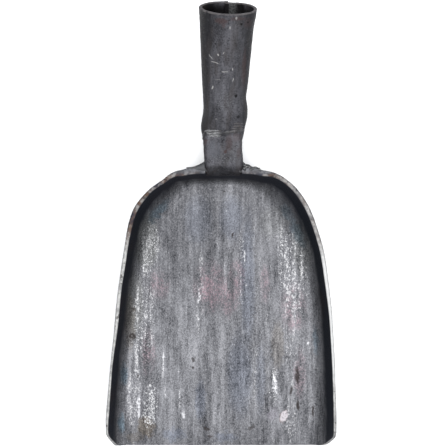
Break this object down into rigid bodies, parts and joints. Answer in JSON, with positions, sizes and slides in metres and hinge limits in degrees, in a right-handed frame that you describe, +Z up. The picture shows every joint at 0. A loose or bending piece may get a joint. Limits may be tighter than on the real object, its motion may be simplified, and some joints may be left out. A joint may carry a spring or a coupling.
{
  "type": "feed scoop",
  "caption": "Hand-forged iron scoop: a shallow open-fronted pan with upturned walls, a short neck and a rolled tapering socket for a wooden handle.",
  "frame": {"origin": "middle of the footprint, on the plane that the pan's flat underside rests on", "axes": "+Z up from the pan's floor, +Y from the open lip towards the handle socket, +X to the right seen from above with the socket away from the viewer"},
  "size_m": [0.1726, 0.3338, 0.0844],
  "materials": {
    "pan_iron": "bare forged sheet, brushed grey by use, with dark walls and rust in the pits",
    "handle_iron": "dark forge scale with a dull sheen and light scratches",
    "weld_iron": "rippled weld metal, dark in the hollows and bright on the crests"
  },
  "bodies": {
    "root": {"pan": "pan_iron", "neck": "handle_iron", "socket": "handle_iron", "socket_weld": "weld_iron", "rim_weld_left": "weld_iron", "rim_weld_right": "weld_iron", "foot_weld": "weld_iron"}
  },
  "joints": []
}
